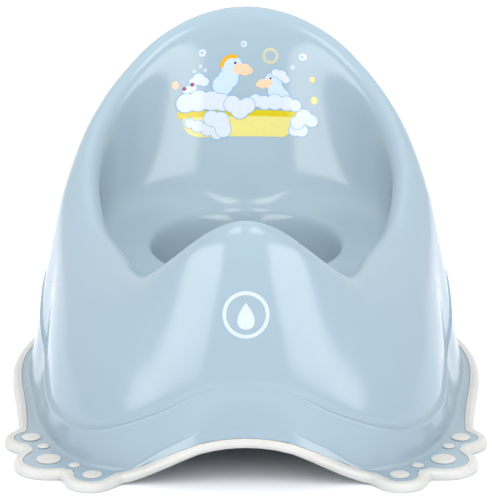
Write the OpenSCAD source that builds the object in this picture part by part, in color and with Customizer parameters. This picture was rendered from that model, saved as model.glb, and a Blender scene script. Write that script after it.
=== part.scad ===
// Potty training chair: one moulded shell with a backrest, a splash guard and a
// hanging bowl, a soft edge strip all round its foot, soft studs through its toes
// and two printed films. Front is -Y, the sitter's left is +X, the floor is z = 0.

/* [Overall] */
// Width over the edge strip, at the widest part of the foot
chair_w = 332.5; // [276:0.5:400]
// Depth over the toes, front to back
chair_d = 376; // [312:0.5:452]
// Height of the top of the backrest
chair_h = 248.5; // [212:0.5:299]

/* [Seat] */
// Height of the seat around the opening
seat_h = 107; // [90:1:128]
// Width of the opening
opening_w = 134; // [112:1:161]
// Length of the opening, front to back
opening_l = 166; // [138:1:200]
// Height of the top of the splash guard
guard_h = 166; // [145:1:190]
// Height of the inside of the bowl's floor
bowl_floor = 17; // [14:1:24]

/* [Shell] */
// Thickness of the moulded wall
wall = 2.6; // [2.2:0.1:3.1]
// Step where the lower band stands out from the panel above it
band_step = 2.4; // [1:0.1:3]
// Height of the arch under the front edge
front_arch = 28.5; // [20:0.5:34]
// Height of the arch under the back edge
rear_arch = 18; // [8:0.5:22]

/* [Edge strip] */
// How far the strip stands out from the shell's edge
strip_w = 6.2; // [5:0.1:7.5]
// How far the strip reaches in under the shell's edge
tongue_w = 3.4; // [2.5:0.1:4]
// Thickness of soft material under the shell, in the strip and in the studs
sole_t = 2.8; // [2.3:0.1:3.4]
// Clearance between the shell and the soft parts
soft_gap = 0.15; // [0.1:0.05:0.3]

/* [Studs] */
// Radius of the stud in the side toe of each foot
stud_side_r = 6.4; // [5:0.1:7]
// Radius of the stud in the corner toe of each foot
stud_corner_r = 8; // [6.5:0.1:9.5]
// Radius of the stud in the end toe of each foot
stud_end_r = 6.2; // [5:0.1:7]
// Radius of the two small studs between the toes
stud_small_r = 3.9; // [3:0.1:4.6]
// Depth of the groove that holds a stud in its hole
stud_groove = 1.2; // [0.8:0.1:1.5]
// Height of a stud's domed head over the flange
stud_dome = 0.7; // [0.4:0.1:1.2]

/* [Prints] */
// Thickness of the printed films
film_t = 0.3; // [0.2:0.05:0.5]
// Height of the middle of the front badge
badge_h = 110; // [98:1:120]
// Radius of the front badge
badge_r = 14.5; // [9:0.5:17.5]
// Height of the rim of the tub in the backrest print
print_h = 172; // [162:1:184]
// Half the width of the tub in the backrest print
print_w = 43; // [32:1:52]

/* [Hidden] */
// sizes at which the rails below are drawn; they are stretched to the sizes above
DRAWN_W = 332.5;
DRAWN_D = 376;
DRAWN_H = 248.5;
DRAWN_SEAT = 107;
DRAWN_GUARD = 166;
NOTCH_Z = 115.5;
kx = chair_w / DRAWN_W;
ky = chair_d / DRAWN_D;
k_low = seat_h / DRAWN_SEAT;
k_high = (chair_h - seat_h) / (DRAWN_H - DRAWN_SEAT);
notch_h = rise(NOTCH_Z);
flange_z = sole_t + wall + soft_gap;

// Every rail below is a list of [angle, value]. The angle runs from 0 at the front
// to 180 at the back, and both sides are alike. Radii and heights are millimetres.
// where the lower band meets the flange
FOOT_R = [[0, 178], [15, 181], [30, 185], [38, 181], [47, 171.5], [60, 159], [75, 150],
    [90, 151.5], [100, 157], [115, 166], [128, 170], [140, 175], [150, 179], [180, 182]];
// edge of the flange between the toes
RIM_R = [[0, 181], [15, 184.5], [23, 186], [35, 198], [48, 187], [62, 165.5], [75, 156.5],
    [90, 157.5], [105, 165.3], [119, 174.5], [126, 180.5], [134, 186], [145, 197], [156, 189],
    [168, 186], [180, 185]];
// slope of the flange at its edge, in degrees below level
RIM_SLOPE = [[0, 72], [8, 66], [16, 45], [23, 14], [27.5, 0], [154, 0], [162, 20],
    [170, 52], [180, 68]];
// how far the edge has risen, as a share of each arch
ARCH_SHARE = [[0, 1], [7.5, 0.91], [12, 0.72], [16.5, 0.47], [21, 0.2], [24.5, 0.04], [27, 0]];
REAR_ARCH_SHARE = [[154, 0], [157, 0.05], [161, 0.25], [167, 0.66], [173, 0.92], [180, 1]];
// the crease between the panel and the lower band
CREASE_R = [[0, 175], [18, 178], [33, 179.5], [48, 166], [63, 149], [78, 139.5], [90, 142.5],
    [102, 144.5], [120, 153], [150, 164], [180, 166]];
CREASE_Z = [[0, 66], [8, 64], [18, 47], [33, 29], [48, 26.5], [63, 30], [78, 35], [85, 41],
    [92, 56], [102, 73], [120, 80], [150, 86], [180, 88]];
CREASE_SHARE = [[0, 0], [6, 0], [14, 0.8], [30, 1.2], [60, 1.1], [78, 0.8], [90, 0.6], [105, 0.8],
    [130, 0.5], [150, 0], [180, 0]];
// the crest of the guard, the side rims and the backrest
CREST_R = [[0, 150], [10, 148], [20, 143], [32.5, 129], [46, 110], [60, 103], [75, 105],
    [90, 110.5], [101, 115.5], [120, 121], [150, 124], [180, 122.5]];
GUARD_SHARE = [[0, 1], [5, 0.94], [10, 0.79], [20, 0.37], [27, 0.11], [32.5, 0]];
BACK_SHARE = [[32.5, 0], [46, 0.011], [60, 0.042], [70, 0.076], [80, 0.134], [90, 0.21],
    [101, 0.314], [110, 0.4], [120, 0.513], [135, 0.69], [150, 0.855],
    [165, 0.962], [180, 1]];
// how far the crest's shoulders reach out, drop and reach in
SHOULDER_OUT = [[0, 10], [20, 11], [32.5, 18], [46, 26], [60, 27], [75, 22], [90, 16],
    [105, 11.5], [120, 10], [150, 9], [180, 9]];
SHOULDER_IN = [[0, 3], [20, 3], [32.5, 4], [46, 5], [60, 5.5], [75, 8], [90, 11], [105, 12],
    [120, 11], [150, 10], [180, 10]];
SHOULDER_DROP = [[0, 9], [46, 9], [75, 13], [90, 14], [105, 13], [120, 11], [150, 9], [180, 9]];
// the outer edge of the level seat
LEDGE_R = [[0, 92], [20, 97], [33, 107], [40, 108], [47, 103], [54, 97.5], [68, 94.5],
    [81, 96], [94, 98], [120, 98], [150, 94], [180, 91]];
LEDGE_RISE = [[0, 9], [32, 4], [60, 3], [90, 5], [120, 8], [150, 12], [180, 14]];
BULGE = [[0, 0], [20, 1], [35, 4], [60, 5], [90, 1], [180, 4]];
// the three toes of a foot, as [x, y, radius]
FRONT_TOES = [[140.4, -109.4, 11], [125.8, -146, 16], [96.3, -170.9, 11.4]];
REAR_TOES = [[141, 113, 11], [126, 147, 16], [97, 170.5, 11.4]];
// the two small studs that lie between the toes
FRONT_SMALL = [[131.1, -124.9], [108.7, -156.1]];
REAR_SMALL = [[128.2, 124.9], [108.7, 155.1]];
TOE_BLEND = 0.45;

// ---- rails ----

// drawn height to real height, with the seat as the fixed line between the two parts
function rise(z) = z < DRAWN_SEAT ? z * k_low : seat_h + (z - DRAWN_SEAT) * k_high;

function slope(rail, i) = i == 0 || i == len(rail) - 1 ? 0
    : (rail[i + 1][1] - rail[i - 1][1]) / (rail[i + 1][0] - rail[i - 1][0]);

// smooth value of a rail at an angle, held level past its ends
function keyed(rail, angle) =
    angle <= rail[0][0] ? rail[0][1]
    : angle >= rail[len(rail) - 1][0] ? rail[len(rail) - 1][1]
    : let (
        i = max([for (j = [0:len(rail) - 2]) if (angle >= rail[j][0]) j]),
        span = rail[i + 1][0] - rail[i][0],
        u = (angle - rail[i][0]) / span
    )
    rail[i][1] * (2 * u ^ 3 - 3 * u ^ 2 + 1) + rail[i + 1][1] * (3 * u ^ 2 - 2 * u ^ 3)
        + span * (slope(rail, i) * (u ^ 3 - 2 * u ^ 2 + u) + slope(rail, i + 1) * (u ^ 3 - u ^ 2));

// how far a ray from the middle leaves a toe that is grown by extra
function toe_exit(toe, angle, extra) = let (
        ray = [sin(angle), -cos(angle)],
        along = toe[0] * ray[0] + toe[1] * ray[1],
        aside = toe[0] * ray[1] - toe[1] * ray[0],
        reach = (toe[2] + extra) ^ 2 - aside ^ 2
    )
    reach > 0 ? along + sqrt(reach) : 0;

// radius of the foot's outline grown by extra: the rim and the toes, blended together
function outline_r(angle, extra) = let (
        reach = concat([keyed(RIM_R, angle) + extra],
            [for (toe = concat(FRONT_TOES, REAR_TOES)) toe_exit(toe, angle, extra)]),
        most = max(reach)
    )
    most + ln([for (r = reach) exp(TOE_BLEND * (r - most))] * [for (r = reach) 1]) / TOE_BLEND;

function edge_z(angle) = flange_z + front_arch * keyed(ARCH_SHARE, angle)
    + rear_arch * keyed(REAR_ARCH_SHARE, angle);

function opening_r(angle) = 1 / norm([sin(angle) * 2 * kx / opening_w,
    cos(angle) * 2 * ky / opening_l]);

// ---- the outside of the shell along one upright section, from its edge to the middle ----

function section_controls(angle) = let (
        slant = keyed(RIM_SLOPE, angle),
        edge = outline_r(angle, 0),
        rim_z = edge_z(angle),
        foot = keyed(FOOT_R, angle),
        flange = edge - foot,
        lift = (1 - cos(slant)) * 12,
        fall = sin(slant) * 5,
        crease = keyed(CREASE_R, angle),
        crease_z = max(rise(keyed(CREASE_Z, angle)), rim_z + lift + 12),
        step = band_step * keyed(CREASE_SHARE, angle),
        crest = keyed(CREST_R, angle),
        crest_z = angle < 32.5 ? notch_h + (guard_h - notch_h) * keyed(GUARD_SHARE, angle)
            : notch_h + (chair_h - notch_h) * keyed(BACK_SHARE, angle),
        out = crest + keyed(SHOULDER_OUT, angle),
        out_z = crest_z - keyed(SHOULDER_DROP, angle),
        in = crest - keyed(SHOULDER_IN, angle),
        ledge = max(keyed(LEDGE_R, angle), opening_r(angle) + 8),
        ledge_z = seat_h + keyed(LEDGE_RISE, angle),
        inner = opening_r(angle),
        wall_r = function(u) crease + (out - crease) * u + keyed(BULGE, angle) * 4 * u * (1 - u),
        wall_z = function(u) crease_z + (out_z - crease_z) * u
    )
    [
        [edge, rim_z],
        [foot + flange * 0.7 * cos(slant) + flange * 0.3 * (1 - cos(slant)), rim_z + fall],
        [foot + min(flange * 0.3, 3.2), rim_z + fall * 1.6],
        [foot + 0.4, rim_z + 0.4 + lift],
        [foot + (crease + step - foot) * 0.1, rim_z + lift + (crease_z - rim_z - lift) * 0.11 + 1.2],
        [foot + (crease + step - foot) * 0.55, rim_z + lift + (crease_z - rim_z - lift) * 0.42],
        [crease + step, crease_z - 6],
        [crease + step, crease_z - 2.2],
        [crease + step * 0.85, crease_z - 0.9],
        [crease + step * 0.1, crease_z - 0.2],
        [crease, crease_z + 1.3],
        [wall_r(0.08), wall_z(0.08) + 1],
        [wall_r(0.36), wall_z(0.36)],
        [wall_r(0.72), wall_z(0.72)],
        [out, out_z],
        [crest, crest_z + 3],
        [in, crest_z - min(6, (crest_z - ledge_z) * 0.34)],
        [in * 0.86 + ledge * 0.14, crest_z * 0.66 + ledge_z * 0.34],
        [in * 0.54 + ledge * 0.46, crest_z * 0.3 + ledge_z * 0.7],
        [ledge, ledge_z],
        [inner + 3.5, ledge_z * 0.2 + seat_h * 0.8],
        [inner - 0.5, seat_h - 0.5],
        [inner - 3, seat_h - 6],
        [inner - 5, seat_h * 0.8],
        [inner - 10, seat_h * 0.42],
        [inner - 14, bowl_floor + 5],
        [inner * 0.68, bowl_floor],
        [inner * 0.35, bowl_floor],
        [0, bowl_floor]
    ];

// points of the smooth curve that a control polygon guides
function smoothed(p) = [for (i = [0:len(p) - 1])
    i == 0 || i == len(p) - 1 ? p[i] : (p[i - 1] + 4 * p[i] + p[i + 1]) / 6];

// the last ring of the outside before the middle of the bowl
LAST_RING = 27;
// stations of the section that the hidden side follows
SECTION_KEPT = [0, 2, 3, 5, 6, 10, 12, 14, 15, 17, 18, 19, 20, 21, 24, 25, 26];

// stretch of the drawn radius along a direction from the middle
function stretched(angle, point) = [kx * point[0] * sin(angle), -ky * point[0] * cos(angle), point[1]];

// a point on the hidden side, one wall in from the outside and mitred where the section turns
function unit(v) = v / norm(v);
function behind(p, i) = let (
        before = unit(p[max(i, 1)] - p[max(i, 1) - 1]),
        after = unit(p[i + 1] - p[i]),
        square = unit([-before[1] - after[1], before[0] + after[0]]),
        mitre = max(0.75, square * [-before[1], before[0]])
    )
    p[i] + square * wall / mitre;

// upright sections: close together at the toes, wider apart elsewhere
HALF_ANGLES = concat([0, 3, 6, 11, 16, 20, 23], [for (i = [0:22]) 25 + i * 1.6],
    [66, 73, 80, 87, 94, 101, 108, 113], [for (i = [0:21]) 117 + i * 1.75],
    [158, 162, 166.5, 171, 175.5, 180]);
COUNT = len(HALF_ANGLES);
function folded(angle) = angle > 180 ? 360 - angle : angle;
ANGLES = concat(HALF_ANGLES, [for (i = [COUNT - 2:-1:1]) 360 - HALF_ANGLES[i]]);

// triangles between closed loops of n points that follow each other
function tube_faces(n, loops, closed) = [for (k = [0:loops - (closed ? 1 : 2)]) for (i = [0:n - 1])
    let (
        a = k * n + i,
        b = k * n + (i + 1) % n,
        c = ((k + 1) % loops) * n + (i + 1) % n,
        d = ((k + 1) % loops) * n + i
    )
    each [[a, c, b], [a, d, c]]];

// ---- the shell ----

module bell() {
    half = [for (angle = HALF_ANGLES) smoothed(section_controls(angle))];
    sections = concat(half, [for (i = [COUNT - 2:-1:1]) half[i]]);
    n = len(ANGLES);
    outside = [for (k = [0:LAST_RING]) each [for (i = [0:n - 1]) stretched(ANGLES[i], sections[i][k])]];
    hidden = [for (j = [len(SECTION_KEPT) - 1:-1:0])
        each [for (i = [0:n - 1]) stretched(ANGLES[i], behind(sections[i], SECTION_KEPT[j]))]];
    loops = LAST_RING + 1 + len(SECTION_KEPT);
    last = n * loops;
    walls = [for (k = [0:loops - 1]) if (k != LAST_RING) for (i = [0:n - 1])
        let (
            a = k * n + i,
            b = k * n + (i + 1) % n,
            c = ((k + 1) % loops) * n + (i + 1) % n,
            d = ((k + 1) % loops) * n + i
        )
        each [[a, c, b], [a, d, c]]];
    top_cap = [for (i = [0:n - 1]) [LAST_RING * n + i, last, LAST_RING * n + (i + 1) % n]];
    under_cap = [for (i = [0:n - 1])
        [(LAST_RING + 1) * n + i, (LAST_RING + 1) * n + (i + 1) % n, last + 1]];
    polyhedron(concat(outside, hidden, [[0, 0, bowl_floor], [0, 0, bowl_floor - wall]]),
        concat(walls, top_cap, under_cap), convexity = 8);
}

// ---- studs: [x, y, radius] of the five in each foot ----

function foot_studs(toes, small) = [
    [toes[0][0], toes[0][1], stud_side_r],
    [small[0][0], small[0][1], stud_small_r],
    [toes[1][0], toes[1][1], stud_corner_r],
    [small[1][0], small[1][1], stud_small_r],
    [toes[2][0], toes[2][1], stud_end_r]
];
FRONT_STUDS = foot_studs(FRONT_TOES, FRONT_SMALL);
REAR_STUDS = foot_studs(REAR_TOES, REAR_SMALL);

module at_stud(stud, side) {
    translate([side * kx * stud[0], ky * stud[1], 0]) children();
}

module stud_holes() {
    for (stud = concat(FRONT_STUDS, REAR_STUDS), side = [-1, 1])
        at_stud(stud, side)
            cylinder(r = stud[2] - stud_groove + soft_gap, h = flange_z + 4, $fn = 32);
}

module potty_shell() {
    color([0.66, 0.78, 0.85]) difference() {
        bell();
        stud_holes();
    }
}

module soft_stud(stud, side) {
    r = stud[2];
    neck = r - stud_groove;
    under = sole_t;
    over = flange_z + soft_gap;
    color([0.93, 0.93, 0.91]) at_stud(stud, side)
        rotate_extrude($fn = 48)
            polygon([[0, 0], [r - 0.6, 0], [r, 0.6], [r, under], [neck, under], [neck, over],
                [r, over], [r * 0.97, over + stud_dome * 0.35], [r * 0.75, over + stud_dome * 0.8],
                [r * 0.4, over + stud_dome], [0, over + stud_dome]]);
}

// ---- the soft strip round the edge ----

module edge_strip() {
    // the strip's section as [out along the flange, up square to it]
    low = -flange_z;
    slot_top = -wall - soft_gap;
    profile = [[soft_gap, 0.3], [strip_w * 0.3, 0.5], [strip_w * 0.7, 0], [strip_w * 0.95, -1.5],
        [strip_w, low * 0.65], [strip_w * 0.9, low], [-tongue_w, low], [-tongue_w, slot_top],
        [soft_gap, slot_top]];
    m = len(profile);
    sections = [for (angle = ANGLES) let (
            t = folded(angle),
            slant = keyed(RIM_SLOPE, t),
            edge = outline_r(t, 0),
            base = edge_z(t)
        )
        [for (p = profile) let (
                out = p[0] > 0 ? outline_r(t, p[0]) - edge : p[0]
            )
            stretched(angle, [edge + out * cos(slant) + p[1] * sin(slant),
                max(0, base - p[0] * sin(slant) + p[1] * cos(slant))])]];
    color([0.94, 0.94, 0.92])
        polyhedron([for (s = sections) each s], tube_faces(m, len(ANGLES), true), convexity = 6);
}

// ---- printed films ----

// a film over a surface: rings of an outline shrunk towards its middle
module film(outline, middle, shares, place) {
    n = len(outline);
    m = len(shares);
    solid_middle = shares[m - 1] == 0;
    rings = solid_middle ? m - 1 : m;
    layer = function(lift, order) [for (k = order)
        each [for (p = outline) place(middle + shares[k] * (p - middle), lift)]];
    top = layer(soft_gap + film_t, [0:rings - 1]);
    under = layer(soft_gap, [rings - 1:-1:0]);
    caps = solid_middle ? [place(middle, soft_gap + film_t), place(middle, soft_gap)] : [];
    loops = 2 * rings;
    sides = [for (k = [0:loops - 1]) if (!(solid_middle && k == rings - 1)) for (i = [0:n - 1])
        let (
            a = k * n + i,
            b = k * n + (i + 1) % n,
            c = ((k + 1) % loops) * n + (i + 1) % n,
            d = ((k + 1) % loops) * n + i
        )
        each [[a, b, c], [a, c, d]]];
    ends = solid_middle ? [for (i = [0:n - 1]) each [
        [(rings - 1) * n + i, (rings - 1) * n + (i + 1) % n, loops * n],
        [rings * n + (i + 1) % n, rings * n + i, loops * n + 1]]] : [];
    polyhedron(concat(top, under, caps), concat(sides, ends), convexity = 4);
}

function inner_face_r(angle, z) = let (s = smoothed(section_controls(angle)))
    lookup(z, [for (i = [20:-1:16]) [s[i][1], s[i][0]]]);
function panel_r(angle, z) = let (s = smoothed(section_controls(angle)))
    lookup(z, [for (i = [10:14]) [s[i][1], s[i][0]]]);

function on_backrest(p, lift) = let (
        turn = asin(p[0] / inner_face_r(180, p[1]) / kx),
        r = inner_face_r(180 - abs(turn), p[1]) - lift
    )
    stretched(180 - turn, [r, p[1]]);
function on_panel(p, lift) = let (
        turn = asin(p[0] / panel_r(0, p[1]) / kx),
        r = panel_r(abs(turn), p[1]) + lift
    )
    stretched(turn, [r, p[1]]);

function round_outline(r, count) = [for (i = [0:count - 1]) r * [cos(i * 360 / count), -sin(i * 360 / count)]];
function cloud_outline(w, h, puffs, swell, count) = [for (i = [0:count - 1]) let (
        a = i * 360 / count,
        f = 1 + swell * abs(sin(a * puffs / 2))
    )
    [w * f * cos(a), -h * f * sin(a)]];

// tub, foam, two bath toys and bubbles, as [x, height over the tub's rim, radius]
TOYS = [[-9, 32, 9.5], [18, 23, 9]];
BUBBLES = [[-31, 44, 2.9], [-1.5, 49.7, 2.5], [17.5, 41.3, 5.9], [40, 41.3, 2.9], [-49.7, 21.8, 2.4],
    [47, 11, 2.9]];
module backrest_print() {
    at = function(x, z) [x, print_h + z];
    spot = function(p, lift) on_backrest(p, lift);
    color([0.85, 0.8, 0.45])
        film([for (q = round_outline(1, 40)) let (f = 1 / (abs(q[0]) ^ 5 + abs(q[1]) ^ 5) ^ 0.2)
            at(q[0] * f * print_w, q[1] * f * 9 - 9.5)], at(0, -9.5), [1, 0.8, 0.5, 0.2, 0], spot);
    color([0.9, 0.94, 0.97])
        film([for (q = cloud_outline(print_w * 1.02, 6.4, 11, 0.12, 66)) q + at(0, 7.6)], at(0, 7.6),
            [1, 0.8, 0.5, 0.2, 0], spot);
    for (toy = TOYS)
        color([0.9, 0.85, 0.75])
            film([for (q = round_outline(toy[2], 24)) q + at(toy[0], toy[1])], at(toy[0], toy[1]),
                [1, 0.5, 0], spot);
    for (b = BUBBLES)
        color([0.9, 0.94, 0.97])
            film([for (q = round_outline(b[2], 20)) q + at(b[0], b[1])], at(b[0], b[1]), [1, 0.6], spot);
}

// a ring with a water drop in it
module front_badge() {
    middle = [0, badge_h];
    spot = function(p, lift) on_panel(p, lift);
    color([0.93, 0.95, 0.96]) {
        film([for (q = round_outline(badge_r, 48)) middle + q], middle, [1, 0.84], spot);
        film([for (i = [0:29]) let (
                a = 12 * i,
                drop = badge_r * 0.5 * [sin(a) * (sin(a / 2)) ^ 1.2, cos(a) * 1.15 - 0.1]
            )
            middle + drop], middle + [0, -badge_r * 0.12], [1, 0.5, 0], spot);
    }
}

potty_shell();
edge_strip();
for (i = [0:4]) {
    soft_stud(FRONT_STUDS[i], 1);
    soft_stud(FRONT_STUDS[i], -1);
    soft_stud(REAR_STUDS[i], 1);
    soft_stud(REAR_STUDS[i], -1);
}
backrest_print();
front_badge();
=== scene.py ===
"""Potty training chair: the finished look of one moulded shell with its soft edge strip,
soft studs and two prints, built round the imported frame."""
import functools
import math

import bmesh
import bpy
from bpy.props import FloatProperty, FloatVectorProperty, IntProperty, PointerProperty
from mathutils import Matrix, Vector


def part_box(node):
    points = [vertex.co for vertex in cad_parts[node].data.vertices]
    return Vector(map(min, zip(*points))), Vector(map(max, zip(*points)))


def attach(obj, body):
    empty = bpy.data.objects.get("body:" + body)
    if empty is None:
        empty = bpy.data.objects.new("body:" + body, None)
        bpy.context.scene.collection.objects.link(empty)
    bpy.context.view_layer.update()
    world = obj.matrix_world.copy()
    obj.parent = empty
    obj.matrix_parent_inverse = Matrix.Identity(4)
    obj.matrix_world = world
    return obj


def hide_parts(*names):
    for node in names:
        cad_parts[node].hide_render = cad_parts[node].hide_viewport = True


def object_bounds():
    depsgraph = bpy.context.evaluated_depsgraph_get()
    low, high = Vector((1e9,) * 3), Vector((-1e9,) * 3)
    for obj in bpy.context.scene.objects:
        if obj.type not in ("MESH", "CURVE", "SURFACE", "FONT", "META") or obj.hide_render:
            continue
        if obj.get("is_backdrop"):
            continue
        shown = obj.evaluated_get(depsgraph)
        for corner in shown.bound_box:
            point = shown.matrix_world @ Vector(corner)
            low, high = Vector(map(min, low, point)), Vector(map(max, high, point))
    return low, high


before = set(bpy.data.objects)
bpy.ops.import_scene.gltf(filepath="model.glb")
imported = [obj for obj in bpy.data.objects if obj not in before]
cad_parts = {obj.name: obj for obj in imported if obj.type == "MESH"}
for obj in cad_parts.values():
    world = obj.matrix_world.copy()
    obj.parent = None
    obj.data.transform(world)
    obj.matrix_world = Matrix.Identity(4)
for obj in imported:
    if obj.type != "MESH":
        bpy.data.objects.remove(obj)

bl_info = {
    "name": "Potty Training Chair",
    "version": (1, 0, 0),
    "blender": (4, 5, 0),
    "location": "View3D > Sidebar > Potty",
    "description": "Builds a one-piece potty chair with a soft edge, studs and prints",
    "category": "Add Mesh",
}

CAD_LOW, CAD_HIGH = (list(corner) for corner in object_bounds())
MM = 0.001

# ---- rails: [angle, value], 0 degrees at the front and 180 at the back, both sides alike ----

CHAIR_H = 248.5
NOTCH_Z = 115.5
FOOT_R = [[0, 178], [15, 181], [30, 185], [38, 181], [47, 171.5], [60, 159], [75, 150],
          [90, 151.5], [100, 157], [115, 166], [128, 170], [140, 175], [150, 179], [180, 182]]
RIM_R = [[0, 181], [15, 184.5], [23, 186], [35, 198], [48, 187], [62, 165.5], [75, 156.5],
         [90, 157.5], [105, 165.3], [119, 174.5], [126, 180.5], [134, 186], [145, 197], [156, 189],
         [168, 186], [180, 185]]
RIM_SLOPE = [[0, 72], [8, 66], [16, 45], [23, 14], [27.5, 0], [154, 0], [162, 20],
             [170, 52], [180, 68]]
ARCH_SHARE = [[0, 1], [7.5, 0.91], [12, 0.72], [16.5, 0.47], [21, 0.2], [24.5, 0.04], [27, 0]]
REAR_ARCH_SHARE = [[154, 0], [157, 0.05], [161, 0.25], [167, 0.66], [173, 0.92], [180, 1]]
CREASE_R = [[0, 175], [18, 178], [33, 179.5], [48, 166], [63, 149], [78, 139.5], [90, 142.5],
            [102, 144.5], [120, 153], [150, 164], [180, 166]]
CREASE_Z = [[0, 66], [8, 64], [18, 47], [33, 29], [48, 26.5], [63, 30], [78, 35], [85, 41],
            [92, 56], [102, 73], [120, 80], [150, 86], [180, 88]]
CREASE_SHARE = [[0, 0], [6, 0], [14, 0.8], [30, 1.2], [60, 1.1], [78, 0.8], [90, 0.6], [105, 0.8],
                [130, 0.5], [150, 0], [180, 0]]
CREST_R = [[0, 150], [10, 148], [20, 143], [32.5, 129], [46, 110], [60, 103], [75, 105],
           [90, 110.5], [101, 115.5], [120, 121], [150, 124], [180, 122.5]]
GUARD_SHARE = [[0, 1], [5, 0.94], [10, 0.79], [20, 0.37], [27, 0.11], [32.5, 0]]
BACK_SHARE = [[32.5, 0], [46, 0.011], [60, 0.042], [70, 0.076], [80, 0.134], [90, 0.21],
              [101, 0.314], [110, 0.4], [120, 0.513], [135, 0.69], [150, 0.855],
              [165, 0.962], [180, 1]]
SHOULDER_OUT = [[0, 10], [20, 11], [32.5, 18], [46, 26], [60, 27], [75, 22], [90, 16],
                [105, 11.5], [120, 10], [150, 9], [180, 9]]
SHOULDER_IN = [[0, 3], [20, 3], [32.5, 4], [46, 5], [60, 5.5], [75, 8], [90, 11], [105, 12],
               [120, 11], [150, 10], [180, 10]]
SHOULDER_DROP = [[0, 9], [46, 9], [75, 13], [90, 14], [105, 13], [120, 11], [150, 9], [180, 9]]
LEDGE_R = [[0, 92], [20, 97], [33, 107], [40, 108], [47, 103], [54, 97.5], [68, 94.5],
           [81, 96], [94, 98], [120, 98], [150, 94], [180, 91]]
LEDGE_RISE = [[0, 9], [32, 4], [60, 3], [90, 5], [120, 8], [150, 12], [180, 14]]
BULGE = [[0, 0], [20, 1], [35, 4], [60, 5], [90, 1], [180, 4]]
FRONT_TOES = [(140.4, -109.4, 11.0), (125.8, -146.0, 16.0), (96.3, -170.9, 11.4)]
REAR_TOES = [(141.0, 113.0, 11.0), (126.0, 147.0, 16.0), (97.0, 170.5, 11.4)]
TOE_BLEND = 0.45
# spacing of the columns round the shell: (from angle, to angle, steps), close at the toes
COLUMN_STRETCHES = [(0, 24, 12), (24, 62, 46), (62, 116, 20), (116, 158, 48), (158, 180, 12)]
# steps along the section between neighbouring controls
SECTION_STEPS = [2, 2, 4, 4, 4, 4, 3, 3, 3, 3, 3, 4, 4, 4, 5, 6, 6, 4, 4, 5, 4, 5, 4, 4, 4, 4, 3, 3]
# controls between which the backrest's inside and the front panel lie
BACK_FACE = (16, 19)
PANEL_FACE = (10, 14)


def srgb(red, green, blue):
    """Scene linear colour from eight-bit display values."""
    def linear(value):
        share = value / 255
        return share / 12.92 if share <= 0.04045 else ((share + 0.055) / 1.055) ** 2.4
    return linear(red), linear(green), linear(blue)


# ---- settings that a user would change ----

class PottyShape(bpy.types.PropertyGroup):
    seat_h: FloatProperty(name="Seat height", description="Height of the seat round the opening",
                          default=0.107, unit="LENGTH")
    opening_w: FloatProperty(name="Opening width", description="Width of the opening",
                             default=0.134, unit="LENGTH")
    opening_l: FloatProperty(name="Opening length", description="Length of the opening",
                             default=0.166, unit="LENGTH")
    guard_h: FloatProperty(name="Guard height", description="Height of the splash guard's top",
                           default=0.166, unit="LENGTH")
    bowl_floor: FloatProperty(name="Bowl floor", description="Height of the bowl's floor",
                              default=0.017, unit="LENGTH")
    wall: FloatProperty(name="Wall", description="Thickness of the moulded wall",
                        default=0.0026, unit="LENGTH")
    band_step: FloatProperty(name="Band step", description="How far the lower band stands out",
                             default=0.0024, unit="LENGTH")
    front_arch: FloatProperty(name="Front arch", description="Height of the arch at the front",
                              default=0.0285, unit="LENGTH")
    rear_arch: FloatProperty(name="Rear arch", description="Height of the arch at the back",
                             default=0.018, unit="LENGTH")


class PottySoftParts(bpy.types.PropertyGroup):
    strip_w: FloatProperty(name="Strip width", description="How far the strip stands out",
                           default=0.0062, unit="LENGTH")
    tongue_w: FloatProperty(name="Tongue", description="How far the strip reaches in underneath",
                            default=0.0034, unit="LENGTH")
    sole_t: FloatProperty(name="Sole", description="Soft material under the shell",
                          default=0.0028, unit="LENGTH")
    gap: FloatProperty(name="Gap", description="Clearance between shell and soft parts",
                       default=0.00015, unit="LENGTH")
    groove: FloatProperty(name="Stud groove", description="Depth of the groove round a stud",
                          default=0.0012, unit="LENGTH")
    dome: FloatProperty(name="Stud dome", description="Height of a stud's head",
                        default=0.0007, unit="LENGTH")
    columns: IntProperty(name="Strip columns", description="Steps round the strip", default=560)


class PottyFinish(bpy.types.PropertyGroup):
    shell: FloatVectorProperty(name="Shell", description="Colour of the moulded plastic",
                               subtype="COLOR", default=srgb(139, 158, 170))
    soft: FloatVectorProperty(name="Soft parts", description="Colour of the strip and studs",
                              subtype="COLOR", default=srgb(190, 190, 187))
    # painted light: the floor's pale blue burns out to white where lit and shows only in its shadows, as
    # painted blue bounce light off the shell
    floor: FloatVectorProperty(name="Floor", description="Colour of the studio floor",
                               subtype="COLOR", default=srgb(238, 243, 250))


class PottyStudio(bpy.types.PropertyGroup):
    camera_back: FloatProperty(name="Camera distance", description="Distance in front",
                               default=1.381, unit="LENGTH")
    camera_up: FloatProperty(name="Camera height", description="Height over the floor",
                             default=0.524, unit="LENGTH")
    camera_tilt: FloatProperty(name="Camera tilt", description="Angle that it looks down",
                               default=math.radians(17.06), subtype="ANGLE")
    lens: FloatProperty(name="Lens", description="Focal length in millimetres", default=150.5)
    front_fill: FloatProperty(name="Front fill", description="Light of the room's front half",
                              default=0.5)
    key: FloatProperty(name="Key", description="Glow of the upright diffusers", default=4.6)
    high: FloatProperty(name="High", description="Glow of the raised diffusers", default=4.6)


def shape():
    return bpy.context.scene.potty_shape


def soft_parts():
    return bpy.context.scene.potty_soft


def finish():
    return bpy.context.scene.potty_finish


# ---- the shell's surface, in millimetres round the middle of the opening ----

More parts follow.
